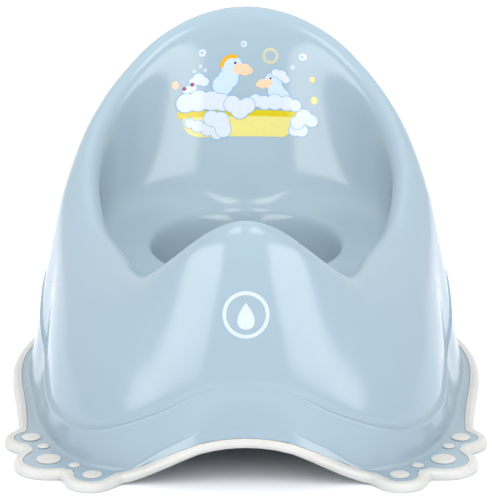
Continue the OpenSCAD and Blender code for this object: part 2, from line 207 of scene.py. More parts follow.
def keyed(rail, angle):
    """Smooth value of a rail at an angle, held level past its ends."""
    if angle <= rail[0][0]:
        return rail[0][1]
    if angle >= rail[-1][0]:
        return rail[-1][1]
    i = max(j for j in range(len(rail) - 1) if angle >= rail[j][0])
    span = rail[i + 1][0] - rail[i][0]
    u = (angle - rail[i][0]) / span

    def slope(j):
        if j == 0 or j == len(rail) - 1:
            return 0.0
        return (rail[j + 1][1] - rail[j - 1][1]) / (rail[j + 1][0] - rail[j - 1][0])
    return (rail[i][1] * (2 * u ** 3 - 3 * u ** 2 + 1) + rail[i + 1][1] * (3 * u ** 2 - 2 * u ** 3)
            + span * (slope(i) * (u ** 3 - 2 * u ** 2 + u) + slope(i + 1) * (u ** 3 - u ** 2)))


def eased(rail, angle):
    """A rail's value averaged over a few degrees, so that reflections run smoothly over its keys."""
    total = 0.0
    for step, weight in ((-3, 1), (-1.5, 4), (0, 6), (1.5, 4), (3, 1)):
        total += weight * keyed(rail, 180 - abs(180 - abs(angle + step)))
    return total / 16


def toe_exit(toe, angle, extra):
    """How far a ray from the middle leaves a toe that is grown by extra."""
    turn = math.radians(angle)
    along = toe[0] * math.sin(turn) - toe[1] * math.cos(turn)
    aside = -toe[0] * math.cos(turn) - toe[1] * math.sin(turn)
    reach = (toe[2] + extra) ** 2 - aside ** 2
    return along + math.sqrt(reach) if reach > 0 else 0.0


def outline_r(angle, extra):
    """Radius of the foot's outline grown by extra: the rim and the toes, blended together."""
    reach = [keyed(RIM_R, angle) + extra]
    reach += [toe_exit(toe, angle, extra) for toe in FRONT_TOES + REAR_TOES]
    most = max(reach)
    return most + math.log(sum(math.exp(TOE_BLEND * (r - most)) for r in reach)) / TOE_BLEND


def flange_z():
    return (soft_parts().sole_t + shape().wall + soft_parts().gap) / MM


def edge_z(angle):
    return (flange_z() + shape().front_arch / MM * keyed(ARCH_SHARE, angle)
            + shape().rear_arch / MM * keyed(REAR_ARCH_SHARE, angle))


@functools.lru_cache(maxsize=None)
def stretch():
    """How much wider and deeper the frame is than the drawn rails."""
    margin_w = 2 * (soft_parts().strip_w / MM)
    width = (CAD_HIGH[0] - CAD_LOW[0]) / MM
    depth = (CAD_HIGH[1] - CAD_LOW[1]) / MM
    drawn_half_w = max(outline_r(a, 0) * math.sin(math.radians(a)) for a in range(85, 130))
    drawn_front = max(outline_r(a, 0) * math.cos(math.radians(a)) for a in range(20, 40))
    drawn_back = max(-outline_r(a, 0) * math.cos(math.radians(a)) for a in range(140, 160))
    return ((width - margin_w) / (2 * drawn_half_w),
            (depth - margin_w) / (drawn_front + drawn_back))


@functools.lru_cache(maxsize=None)
def section(angle):
    """Points [radius, height] of the shell's outside along one upright section."""
    size = shape()
    seat_h = size.seat_h / MM
    floor_z = size.bowl_floor / MM
    chair_h = CHAIR_H
    guard_h = size.guard_h / MM
    slant = math.radians(keyed(RIM_SLOPE, angle))
    flat = math.cos(slant)
    edge = outline_r(angle, 0)
    rim_z = edge_z(angle)
    foot = keyed(FOOT_R, angle)
    flange = edge - foot
    lift = (1 - flat) * 12
    fall = math.sin(slant) * 5
    crease = eased(CREASE_R, angle)
    crease_z = max(eased(CREASE_Z, angle), rim_z + lift + 12)
    step = size.band_step / MM * eased(CREASE_SHARE, angle)
    crest = eased(CREST_R, angle)
    guard = eased(GUARD_SHARE, angle)
    back = eased(BACK_SHARE, angle)
    crest_z = NOTCH_Z + (guard_h - NOTCH_Z) * guard + (chair_h - NOTCH_Z) * back
    out = crest + eased(SHOULDER_OUT, angle)
    out_z = crest_z - eased(SHOULDER_DROP, angle)
    inside = crest - eased(SHOULDER_IN, angle)
    turn = math.radians(angle)
    inner = 1 / math.hypot(math.sin(turn) * 2 / (size.opening_w / MM),
                           math.cos(turn) * 2 / (size.opening_l / MM))
    ledge = max(eased(LEDGE_R, angle), inner + 8)
    ledge_z = seat_h + eased(LEDGE_RISE, angle)
    bulge = eased(BULGE, angle)

    def wall_at(u):
        return (crease + (out - crease) * u + bulge * 4 * u * (1 - u),
                crease_z + (out_z - crease_z) * u)
    low_wall = wall_at(0.08)
    controls = [
        (edge, rim_z),
        (foot + flange * 0.7 * flat + flange * 0.3 * (1 - flat), rim_z + fall),
        (foot + min(flange * 0.3, 3.2), rim_z + fall * 1.6),
        (foot + 0.4, rim_z + 0.4 + lift),
        (foot + (crease + step - foot) * 0.1, rim_z + lift + (crease_z - rim_z - lift) * 0.11 + 1.2),
        (foot + (crease + step - foot) * 0.55, rim_z + lift + (crease_z - rim_z - lift) * 0.42),
        (crease + step, crease_z - 6),
        (crease + step * 1.05, crease_z - 2.4),
        (crease + step, crease_z - 0.9),
        (crease - step * 0.35, crease_z - 0.5),
        (crease - step * 0.15, crease_z + 1.5),
        (low_wall[0], low_wall[1] + 1),
        wall_at(0.36),
        wall_at(0.72),
        (out, out_z),
        (crest, crest_z + 3),
        (inside, crest_z - min(6, (crest_z - ledge_z) * 0.34)),
        (inside * 0.86 + ledge * 0.14, crest_z * 0.66 + ledge_z * 0.34),
        (inside * 0.54 + ledge * 0.46, crest_z * 0.3 + ledge_z * 0.7),
        (ledge, ledge_z),
        (inner + 3.5, ledge_z * 0.2 + seat_h * 0.8),
        (inner - 0.5, seat_h - 0.5),
        (inner - 3, seat_h - 6),
        (inner - 5, seat_h * 0.8),
        (inner - 10, seat_h * 0.42),
        (inner - 14, floor_z + 5),
        (inner * 0.68, floor_z),
        (inner * 0.35, floor_z),
        (0.0, floor_z),
    ]
    return smooth_line(controls)


def smooth_line(controls):
    """Points of the smooth curve that a control polygon guides, ends included."""
    first = [2 * a - b for a, b in zip(controls[0], controls[1])]
    last = [2 * a - b for a, b in zip(controls[-1], controls[-2])]
    guides = [first] + [list(c) for c in controls] + [last]
    points = []
    for i, steps in enumerate(SECTION_STEPS):
        for k in range(steps):
            u = k / steps
            weights = ((1 - u) ** 3 / 6, (3 * u ** 3 - 6 * u ** 2 + 4) / 6,
                       (-3 * u ** 3 + 3 * u ** 2 + 3 * u + 1) / 6, u ** 3 / 6)
            points.append(tuple(sum(w * guides[i + j][c] for j, w in enumerate(weights))
                                for c in (0, 1)))
    points.append(tuple(controls[-1]))
    return points


def placed(angle, radius, height):
    """A place in metres from an angle round the chair and millimetres."""
    turn = math.radians(angle)
    wide, deep = stretch()
    return Vector((wide * radius * math.sin(turn) * MM, -deep * radius * math.cos(turn) * MM,
                   height * MM))


def folded(angle):
    return 180 - abs(180 - angle % 360)


def half_angles():
    angles = [low + (high - low) * k / steps
              for low, high, steps in COLUMN_STRETCHES for k in range(steps)]
    return angles + [180.0]


def ring_angles():
    half = half_angles()
    return half + [360 - a for a in half[-2:0:-1]]


def first_index(station):
    """Where a control's own point lies along a section."""
    return sum(SECTION_STEPS[:station])


def radius_at(angle, height, low_station, high_station):
    """Radius of the surface at a height, between two controls of the section."""
    line = section(angle)[first_index(low_station):first_index(high_station) + 1]
    if line[0][1] > line[-1][1]:
        line = line[::-1]
    for below, above in zip(line, line[1:]):
        if below[1] <= height <= above[1]:
            u = (height - below[1]) / max(above[1] - below[1], 1e-9)
            return below[0] + (above[0] - below[0]) * u
    return line[-1][0]


def on_backrest(across, height, lift):
    """A place on the inside of the backrest, lift millimetres off it."""
    middle = radius_at(180, height, *BACK_FACE)
    turn = math.degrees(math.asin(across / middle / stretch()[0]))
    radius = radius_at(round(180 - abs(turn), 2), height, *BACK_FACE)
    return placed(180 - turn, radius - lift, height)


def on_panel(across, height, lift):
    """A place on the front panel, lift millimetres off it."""
    turn = math.degrees(math.asin(across / radius_at(0, height, *PANEL_FACE) / stretch()[0]))
    radius = radius_at(round(abs(turn), 2), height, *PANEL_FACE)
    return placed(turn, radius + lift, height)


# ---- small helpers for working by hand ----

def only(piece):
    """That piece alone is selected and active."""
    if bpy.context.object and bpy.context.object.mode != "OBJECT":
        bpy.ops.object.mode_set(mode="OBJECT")
    bpy.ops.object.select_all(action="DESELECT")
    piece.select_set(True)
    bpy.context.view_layer.objects.active = piece


def clear_selection():
    if bpy.context.object and bpy.context.object.mode != "OBJECT":
        bpy.ops.object.mode_set(mode="OBJECT")
    bpy.ops.object.select_all(action="DESELECT")


def named(name):
    """The new active piece, with its name."""
    piece = bpy.context.object
    piece.name = name
    piece.data.name = name
    return piece


def in_edit(piece, work):
    """Does work in edit mode with everything selected."""
    only(piece)
    bpy.ops.object.mode_set(mode="EDIT")
    bpy.ops.mesh.select_all(action="SELECT")
    work()
    bpy.ops.object.mode_set(mode="OBJECT")


def apply_modifier(piece, kind, **settings):
    only(piece)
    modifier = piece.modifiers.new(kind.title(), kind)
    for key, value in settings.items():
        setattr(modifier, key, value)
    bpy.ops.object.modifier_apply(modifier=modifier.name)


def smooth(piece, degrees):
    only(piece)
    bpy.ops.object.shade_smooth_by_angle(angle=math.radians(degrees))


def hand_over(piece, node):
    """The piece stands for its CAD node, which is hidden; the piece hangs from the root body."""
    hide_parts(node)
    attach(piece, "root")


# ---- materials ----

def new_material(name):
    material = bpy.data.materials.new(name)
    material.use_nodes = True
    nodes = material.node_tree.nodes
    nodes.clear()
    output = nodes.new("ShaderNodeOutputMaterial")
    shader = nodes.new("ShaderNodeBsdfPrincipled")
    output.location = (400, 0)
    shader.location = (100, 0)
    material.node_tree.links.new(shader.outputs["BSDF"], output.inputs["Surface"])
    return material, material.node_tree, shader


def noise(tree, scale, detail, place):
    """A noise in object space."""
    where = tree.nodes.new("ShaderNodeTexCoord")
    pattern = tree.nodes.new("ShaderNodeTexNoise")
    pattern.inputs["Scale"].default_value = scale
    pattern.inputs["Detail"].default_value = detail
    where.location = (-1000, place)
    pattern.location = (-800, place)
    tree.links.new(where.outputs["Object"], pattern.inputs["Vector"])
    return pattern.outputs["Fac"]


def ranged(tree, value, low, high, place):
    spread = tree.nodes.new("ShaderNodeMapRange")
    spread.location = (-560, place)
    spread.inputs["From Min"].default_value = 0.3
    spread.inputs["From Max"].default_value = 0.7
    spread.inputs["To Min"].default_value = low
    spread.inputs["To Max"].default_value = high
    tree.links.new(value, spread.inputs["Value"])
    return spread.outputs["Result"]


def tinted(tree, value, low, high, place):
    ramp = tree.nodes.new("ShaderNodeValToRGB")
    ramp.location = (-400, place)
    ramp.color_ramp.elements[0].position = 0.3
    ramp.color_ramp.elements[1].position = 0.7
    ramp.color_ramp.elements[0].color = (*low, 1)
    ramp.color_ramp.elements[1].color = (*high, 1)
    tree.links.new(value, ramp.inputs["Fac"])
    return ramp.outputs["Color"]


def bumped(tree, value, strength, distance, under=None):
    bump = tree.nodes.new("ShaderNodeBump")
    bump.inputs["Strength"].default_value = strength
    bump.inputs["Distance"].default_value = distance
    tree.links.new(value, bump.inputs["Height"])
    if under is not None:
        tree.links.new(under, bump.inputs["Normal"])
    return bump.outputs["Normal"]


def shaded(colour, share):
    return tuple(channel * share for channel in colour)


def glossy_plastic(name, colour, rough=(0.10, 0.17)):
    """Injection-moulded polypropylene: a slow waviness, a fine orange peel and faint scuffs."""
    material, tree, shader = new_material(name)
    mottle = noise(tree, 9, 2, 300)
    tree.links.new(tinted(tree, mottle, shaded(colour, 0.985), shaded(colour, 1.015), 300),
                   shader.inputs["Base Color"])
    scuffs = noise(tree, 140, 6, 0)
    tree.links.new(ranged(tree, scuffs, rough[0], rough[1], 0), shader.inputs["Roughness"])
    waves = bumped(tree, noise(tree, 28, 1, -300), 0.25, 0.0006)
    peel = bumped(tree, noise(tree, 900, 2, -600), 0.06, 0.0002, waves)
    tree.links.new(peel, shader.inputs["Normal"])
    shader.inputs["IOR"].default_value = 1.49
    shader.inputs["Specular IOR Level"].default_value = 0.5
    return material


def soft_rubber(name, colour):
    """Soft elastomer: satin, with a fine grain and a faint random cloudiness in its tone."""
    material, tree, shader = new_material(name)
    cloud = noise(tree, 60, 4, 300)
    tree.links.new(tinted(tree, cloud, shaded(colour, 0.95), shaded(colour, 1.02), 300),
                   shader.inputs["Base Color"])
    tree.links.new(ranged(tree, noise(tree, 400, 3, 0), 0.38, 0.5, 0), shader.inputs["Roughness"])
    grain = bumped(tree, noise(tree, 1800, 3, -300), 0.12, 0.0002)
    tree.links.new(grain, shader.inputs["Normal"])
    shader.inputs["Subsurface Weight"].default_value = 0.0
    return material


def print_ink(name, colour):
    """Transfer print: the same gloss as the shell under it, with a slightly uneven lay of ink."""
    material, tree, shader = new_material(name)
    lay = noise(tree, 500, 4, 300)
    tree.links.new(tinted(tree, lay, shaded(colour, 0.96), shaded(colour, 1.02), 300),
                   shader.inputs["Base Color"])
    tree.links.new(ranged(tree, noise(tree, 140, 6, 0), 0.12, 0.19, 0), shader.inputs["Roughness"])
    waves = bumped(tree, noise(tree, 28, 1, -300), 0.25, 0.0006)
    tree.links.new(waves, shader.inputs["Normal"])
    return material


# ---- pieces ----

class POTTY_OT_shell(bpy.types.Operator):
    """The moulded shell: a grid wrapped round the sections, walled inwards and drilled for the studs"""
    bl_idname = "potty.shell"
    bl_label = "Potty Shell"

    def execute(self, context):
        angles = ring_angles()
        columns = len(angles)
        rings = sum(SECTION_STEPS)
        clear_selection()
        bpy.ops.mesh.primitive_grid_add(x_subdivisions=columns, y_subdivisions=rings, size=1)
        shell = named("shell_moulding")
        for vertex in shell.data.vertices:
            column = round((vertex.co.x + 0.5) * columns) % columns
            ring = round((vertex.co.y + 0.5) * rings)
            angle = angles[column]
            radius, height = section(round(folded(angle), 4))[ring]
            vertex.co = placed(angle, radius, height)

        def weld():
            bpy.ops.mesh.remove_doubles(threshold=0.00001)
            bpy.ops.mesh.normals_make_consistent(inside=False)
        in_edit(shell, weld)
        front = min(shell.data.polygons, key=lambda face: (face.center - Vector((0, -0.17, 0.1))).length)
        if front.normal.y > 0:
            in_edit(shell, bpy.ops.mesh.flip_normals)
        apply_modifier(shell, "SOLIDIFY", thickness=shape().wall, offset=-1, use_even_offset=True)
        self.drill(shell)
        smooth(shell, 50)
        shell.data.materials.clear()
        shell.data.materials.append(glossy_plastic("moulded_polypropylene", finish().shell))
        hand_over(shell, "potty_shell")
        return {"FINISHED"}

    def drill(self, shell):
        """Cuts the studs' holes through the toes."""
        cutters = []
        for node in stud_nodes():
            middle, radius = stud_place(node)
            clear_selection()
            hole = radius - soft_parts().groove + soft_parts().gap
            bpy.ops.mesh.primitive_cylinder_add(vertices=64, radius=hole, depth=0.02,
                                                location=(middle.x, middle.y, 0.004))
            cutters.append(bpy.context.object)
        clear_selection()
        for cutter in cutters:
            cutter.select_set(True)
        bpy.context.view_layer.objects.active = cutters[0]
        bpy.ops.object.join()
        drill = named("stud_drill")
        apply_modifier(shell, "BOOLEAN", operation="DIFFERENCE", solver="EXACT", object=drill)
        bpy.data.objects.remove(drill, do_unlink=True)


def strip_profile():
    """The strip's section as [out along the flange, up square to it], in millimetres, from the
    top of its slot over the rounded outside to the foot and back."""
    soft = soft_parts()
    width = soft.strip_w / MM
    tongue = soft.tongue_w / MM
    gap = soft.gap / MM
    wall = shape().wall / MM
    low = -flange_z()
    crown = [(gap, -0.6), (gap, 0.0), (gap + 0.25, 0.35)]
    centre = (width - 3.0, -2.5)
    crown += [(centre[0] + 3.0 * math.sin(math.radians(a)),
               centre[1] + 3.0 * math.cos(math.radians(a))) for a in range(-20, 96, 14)]
    crown += [(width * 0.99, low * 0.72), (width * 0.95, low + 0.5), (width * 0.87, low)]
    crown += [(width * 0.4, low), (-tongue + 0.3, low), (-tongue, low + 0.3),
              (-tongue, -wall - gap), (gap, -wall - gap)]
    return crown


class POTTY_OT_edge_strip(bpy.types.Operator):
    """The soft strip: a ring whose section is laid along the foot's scalloped outline"""
    bl_idname = "potty.edge_strip"
    bl_label = "Edge Strip"

    def execute(self, context):
        profile = strip_profile()
        around = len(profile)
        angles = self.angles()
        clear_selection()
        bpy.ops.mesh.primitive_torus_add(major_segments=len(angles), minor_segments=around,
                                         major_radius=1.0, minor_radius=0.25)
        strip = named("soft_edge_strip")
        for vertex in strip.data.vertices:
            turn = math.atan2(vertex.co.y, vertex.co.x) % math.tau
            roll = math.atan2(vertex.co.z, math.hypot(vertex.co.x, vertex.co.y) - 1.0) % math.tau
            column = round(turn / math.tau * len(angles)) % len(angles)
            angle = angles[column]
            out, up = profile[round(roll / math.tau * around) % around]
            vertex.co = self.on_edge(angle, out, up)
        in_edit(strip, functools.partial(bpy.ops.mesh.normals_make_consistent, inside=False))
        smooth(strip, 42)
        strip.data.materials.clear()
        strip.data.materials.append(soft_rubber("soft_edge_elastomer", finish().soft))
        hand_over(strip, "edge_strip")
        return {"FINISHED"}

    def angles(self):
        """Twice as many columns as the shell has, at its columns and half way between them."""
        ring = ring_angles()
        return [a + (b - a) * k / 2 for a, b in zip(ring, ring[1:] + [360.0]) for k in (0, 1)]

    def on_edge(self, angle, out, up):
        half = folded(angle)
        slant = math.radians(keyed(RIM_SLOPE, half))
        edge = outline_r(half, 0)
        reach = outline_r(half, out) - edge if out > 0 else out
        radius = edge + reach * math.cos(slant) + up * math.sin(slant)
        height = max(0.0, edge_z(half) - out * math.sin(slant) + up * math.cos(slant))
        return placed(angle, radius, height)


def stud_nodes():
    return sorted(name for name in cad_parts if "_stud_" in name)


def stud_place(node):
    """Middle and head radius of a stud, from its CAD box."""
    low, high = (Vector(corner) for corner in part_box(node))
    return (low + high) / 2, (high.x - low.x) / 2


class POTTY_OT_studs(bpy.types.Operator):
    """The soft studs: lathed once for each radius and copied to their holes"""
    bl_idname = "potty.studs"
    bl_label = "Soft Studs"

    def execute(self, context):
        rubber = soft_rubber("soft_stud_elastomer", finish().soft)
        patterns = {}
        for node in stud_nodes():
            middle, radius = stud_place(node)
            size = round(radius, 5)
            if size not in patterns:
                patterns[size] = self.pattern(size, rubber)
            only(patterns[size])
            bpy.ops.object.duplicate()
            stud = named("soft_" + node)
            for vertex in stud.data.vertices:
                vertex.co += Vector((middle.x, middle.y, 0))
            hand_over(stud, node)
        for pattern in patterns.values():
            bpy.data.objects.remove(pattern, do_unlink=True)
        return {"FINISHED"}

    def pattern(self, radius, rubber):
        """One stud at the origin: a disc pulled up through its foot, neck and domed head."""
        soft = soft_parts()
        neck = radius - soft.groove
        over = flange_z() * MM + soft.gap
        line = [(radius - 0.0005, 0.0), (radius - 0.00015, 0.00015), (radius, 0.0005),
                (radius, soft.sole_t - 0.0002), (radius - 0.0002, soft.sole_t),
                (neck, soft.sole_t), (neck, over), (radius - 0.0001, over),
                (radius, over + 0.0001)]
        line += [(radius * math.cos(math.radians(a)) ** 0.6,
                  over + 0.0001 + (soft.dome - 0.0001) * math.sin(math.radians(a)))
                 for a in (12, 25, 40, 55, 68, 79)]
        clear_selection()
        bpy.ops.mesh.primitive_circle_add(vertices=64, radius=line[0][0], fill_type="NGON")
        stud = named("stud_pattern")
        bpy.ops.object.mode_set(mode="EDIT")
        for (r0, z0), (r1, z1) in zip(line, line[1:]):
            bpy.ops.mesh.extrude_region_move(TRANSFORM_OT_translate={"value": (0, 0, z1 - z0)})
            bpy.ops.transform.resize(value=(r1 / r0, r1 / r0, 1), center_override=(0, 0, z1))
        bpy.ops.mesh.select_all(action="SELECT")
        bpy.ops.mesh.normals_make_consistent(inside=False)
        bpy.ops.object.mode_set(mode="OBJECT")
        smooth(stud, 40)
        stud.data.materials.append(rubber)
        return stud


# ---- prints ----

def round_line(across, up, radius, count=40, tall=1.0):
    """A round outline as (across, up) points."""
    return [(across + radius * math.cos(math.tau * k / count),
             up + tall * radius * math.sin(math.tau * k / count)) for k in range(count)]


def puffs_line(puffs, grow=0.0, steps=90):
    """The outline of overlapping round puffs (across, up, radius) that lie in one row."""
    low = min(x - r for x, z, r in puffs) - grow
    high = max(x + r for x, z, r in puffs) + grow

    def reach(x):
        return [(z, math.sqrt((r + grow) ** 2 - (x - cx) ** 2))
                for cx, z, r in puffs if abs(x - cx) < r + grow]
    places = [low + (high - low) * (0.5 - 0.5 * math.cos(math.pi * k / steps))
              for k in range(1, steps)]
    top = [(x, max(z + h for z, h in reach(x))) for x in places]
    bottom = [(x, min(z - h for z, h in reach(x))) for x in reversed(places)]
    return bottom + top


def ring_line(across, up, radius, width, count=40):
    """A ring, as an outline that runs round its outside and back round its inside."""
    outer = [(across + radius * math.cos(math.tau * k / count),
              up + radius * math.sin(math.tau * k / count)) for k in range(count + 1)]
    inner = [(across + (radius - width) * math.cos(math.tau * k / count),
              up + (radius - width) * math.sin(math.tau * k / count))
             for k in range(count, -1, -1)]
    return outer + inner


def film(name, outline, layer, ink, place, cell=2.5, thickness=0.03):
    """A thin printed film: an outline cut into small cells and laid on a curved surface."""
    clear_selection()
    bpy.ops.mesh.primitive_circle_add(vertices=len(outline), fill_type="NGON")
    piece = named(name)
    for vertex, (across, up) in zip(piece.data.vertices, outline):
        vertex.co = (across, up, 0)
    bpy.ops.object.mode_set(mode="EDIT")
    for axis in (0, 1):
        low = min(point[axis] for point in outline)
        high = max(point[axis] for point in outline)
        cuts = int((high - low) / cell)
        for k in range(1, cuts + 1):
            where = [0.0, 0.0, 0.0]
            where[axis] = low + (high - low) * k / (cuts + 1)
            square = [0.0, 0.0, 0.0]
            square[axis] = 1.0
            bpy.ops.mesh.select_all(action="SELECT")
            bpy.ops.mesh.bisect(plane_co=where, plane_no=square)
    bpy.ops.mesh.select_all(action="SELECT")
    bpy.ops.mesh.remove_doubles(threshold=0.001)
    bpy.ops.mesh.quads_convert_to_tris()
    bpy.ops.object.mode_set(mode="OBJECT")
    lift = 0.05 + 0.04 * layer
    for vertex in piece.data.vertices:
        vertex.co = place(vertex.co.x, vertex.co.y, lift)
    if sum(face.normal.y * face.area for face in piece.data.polygons) > 0:
        in_edit(piece, bpy.ops.mesh.flip_normals)
    apply_modifier(piece, "SOLIDIFY", thickness=thickness * MM, offset=1)
    smooth(piece, 30)
    piece.data.materials.clear()
    piece.data.materials.append(ink)
    return piece


def joined(name, pieces):
    clear_selection()
    for piece in pieces:
        piece.select_set(True)
    bpy.context.view_layer.objects.active = pieces[0]
    bpy.ops.object.join()
    return named(name)


class POTTY_OT_backrest_print(bpy.types.Operator):
    """The print on the backrest: a tub of foam with two plain bath ducks and bubbles"""
    bl_idname = "potty.backrest_print"
    bl_label = "Backrest Print"
    rim_h = 172.7

    def execute(self, context):
        self.inks = {
            "tub": print_ink("ink_tub", srgb(196, 188, 112)),
            "rim": print_ink("ink_tub_rim", srgb(184, 168, 10)),
            "foam": print_ink("ink_foam", srgb(182, 191, 202)),
            "line": print_ink("ink_outline", srgb(104, 152, 190)),
            "duck": print_ink("ink_duck", srgb(172, 190, 208)),
            "bill": print_ink("ink_bill", srgb(212, 178, 148)),
            "pale": print_ink("ink_pale", srgb(208, 196, 118)),
            "cap": print_ink("ink_cap", srgb(216, 152, 10)),
            "spot": print_ink("ink_spot", srgb(120, 10, 66)),
            "dark": print_ink("ink_dark", srgb(24, 24, 44)),
        }
        self.films = []
        self.tub()
        self.foam()
        self.duck(-10, 33.5, 7.6, 1)
        self.hat(-10, 33.5, 7.6, 1)
        self.duck(19.5, 23.0, 6.2, -1)
        self.outlined([(21.5, 29.0, 3.0), (25.5, 27.6, 3.6), (28.6, 24.6, 2.8)], 5)
        self.bubbles()
        picture = joined("backrest_picture", self.films)
        hand_over(picture, "backrest_print")
        return {"FINISHED"}

    def add(self, ink, outline, layer, cell=2.5):
        place = lambda across, up, lift: on_backrest(across, self.rim_h + up, lift)
        self.films.append(film(f"film_{len(self.films)}", outline, layer, self.inks[ink], place, cell))

    def tub(self):
        self.add("tub", [(-45, 0), (-44, -9), (-40, -14), (-34, -16.6), (27, -16.6), (31, -14),
                         (33.5, -9), (35, 0)], 1)
        self.add("rim", [(-48.3, -2.2), (-48.3, 2.2), (38, 2.2), (38, -2.2)], 2)

    def outlined(self, puffs, layer):
        """A row of foam puffs with a thin line round it."""
        self.add("line", puffs_line(puffs, 0.45), layer)
        self.add("foam", puffs_line(puffs), layer + 1)

    def foam(self):
        self.outlined([(-42.5, 8.5, 6.6), (-34, 9.5, 7.4), (-25, 9.2, 6.8), (-17.5, 8.0, 6.2)], 9)
        self.outlined([(-10, 6.5, 6.0), (-4.5, 2.6, 6.6), (1, 5.5, 5.6)], 11)
        self.outlined([(7, 9, 4.6), (13.5, 7.5, 5.0), (21, 8.2, 5.6), (29, 7.5, 5.2),
                       (35, 6.2, 4.2)], 7)
        self.outlined([(-40, -6, 3.4), (-34.5, -8.6, 4.2), (-27.5, -11, 4.6), (-21, -14, 4.4)], 3)
        self.outlined([(-25, -3.4, 5.4), (-18.5, -5.6, 6.4), (-16.5, -11.5, 5.6)], 5)
        self.outlined([(36.5, -6, 4.6), (41, -1.5, 5.4), (46, -3.8, 4.4)], 5)
        self.outlined([(34.5, -11.6, 3.8), (39, -11, 4.6)], 3)
        self.outlined([(-37.5, 23.2, 3.0), (-33.8, 25, 4.2), (-29.8, 23, 3.2)], 3)
        self.outlined([(-42, 17.5, 2.8), (-38.5, 19, 3.2)], 5)

    def duck(self, across, up, radius, facing):
        """A plain bath duck that looks over the foam: breast, neck, round head and flat bill."""
        body = [(across - facing * 0.9 * radius, up - 1.75 * radius, 0.95 * radius),
                (across - facing * 0.35 * radius, up - 1.1 * radius, 0.95 * radius),
                (across, up, radius)]
        self.add("line", puffs_line(body, 0.4), 3)
        self.add("duck", puffs_line(body), 4)
        bill = [(across + facing * 0.62 * radius, up - 0.22 * radius, 0.52 * radius),
                (across + facing * 1.2 * radius, up - 0.3 * radius, 0.56 * radius),
                (across + facing * 1.62 * radius, up - 0.38 * radius, 0.34 * radius)]
        self.add("bill", puffs_line(bill, steps=60), 5)
        self.add("dark", round_line(across + facing * 0.28 * radius, up + 0.34 * radius,
                                    0.12 * radius, 16), 5)

    def hat(self, across, up, radius, facing):
        """A soft bathing cap on the back of a duck's head."""
        turns = [math.radians(62 + 11 * k) for k in range(12)]
        outer = [(across + facing * 1.16 * radius * math.cos(a), up + 1.16 * radius * math.sin(a))
                 for a in turns]
        inner = [(across + facing * 0.8 * radius * math.cos(a), up + 0.8 * radius * math.sin(a))
                 for a in reversed(turns)]
        self.add("cap", outer + inner, 6, cell=4)

    def bubbles(self):
        for across, up, radius in [(-31, 43.8, 2.7), (-1.5, 49.7, 2.4), (40.3, 41.3, 2.7),
                                   (33.2, 33.6, 1.6), (-32.4, 34.3, 1.2), (-29.2, 31.2, 1.2),
                                   (-36.8, 30.9, 1.2)]:
            self.add("foam", round_line(across, up, radius, 28), 3)
            self.add("line", round_line(across - radius * 0.2, up, radius * 0.3, 12), 4)
        self.add("pale", ring_line(17.6, 41.3, 5.7, 0.5, 44), 3, cell=6)
        self.add("foam", ring_line(17.6, 41.3, 4.9, 0.5, 44), 3, cell=6)
        self.add("pale", ring_line(17.6, 41.3, 4.2, 0.4, 44), 3, cell=6)
        for ink, across, up, radius in [("pale", 46.8, 25.6, 1.7), ("pale", 48, 10.8, 2.2),
                                        ("bill", -49.7, 21.8, 2.4)]:
            self.add(ink, round_line(across, up, radius, 24, 1.25), 3)
        for across, up, radius in [(-38.3, 30.4 - 9, 1.5), (-43.7, 18.8, 1.4)]:
            self.add("spot", round_line(across, up, radius, 16), 9)


class POTTY_OT_front_badge(bpy.types.Operator):
    """The white print on the front panel: a ring round a water drop"""
    bl_idname = "potty.front_badge"
    bl_label = "Front Badge"

    def execute(self, context):
        low, high = (Vector(corner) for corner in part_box("front_badge"))
        middle = (low.z + high.z) / 2 / MM
        radius = (high.z - low.z) / 2 / MM
        ink = print_ink("ink_badge", srgb(184, 195, 203))
        ring = film("badge_ring", ring_line(0, middle, radius, radius * 0.16, 72), 1, ink, on_panel, 6)
        drop_line = [(radius * 0.5 * math.sin(a) * abs(math.sin(a / 2)) ** 1.2,
                      middle + radius * 0.5 * (1.15 * math.cos(a) - 0.1))
                     for a in (math.tau * k / 48 for k in range(48))]
        drop = film("badge_drop", drop_line, 1, ink, on_panel)
        badge = joined("front_badge_print", [ring, drop])
        hand_over(badge, "front_badge")
        return {"FINISHED"}


# ---- studio ----

# soft lamps: name, kind, place, tilt in degrees, size, power in watts, seen in the gloss or not
SOFT_LIGHTS = [
    ("top_soft", "AREA", (0, 0.3, 2.2), 0, 1.8, 6.0, True),
    ("fill_light", "AREA", (0, -1.1, 1.25), 45, 1.3, 8.0, False),
    ("seat_light", "SPOT", (0, -1.2, 1.5), 43.9, 0.15, 85.0, False),
    ("floor_light", "AREA", (0, 2.2, 1.6), 0, 2.4, 45.0, False),
]
# full angle of the seat lamp's cone, in degrees
SEAT_CONE = 11
# the room's light runs from the front fill to BACK_GLOW between these two directions
FADE_FROM, FADE_TO = -0.6, 0.95
BACK_GLOW = 1.02


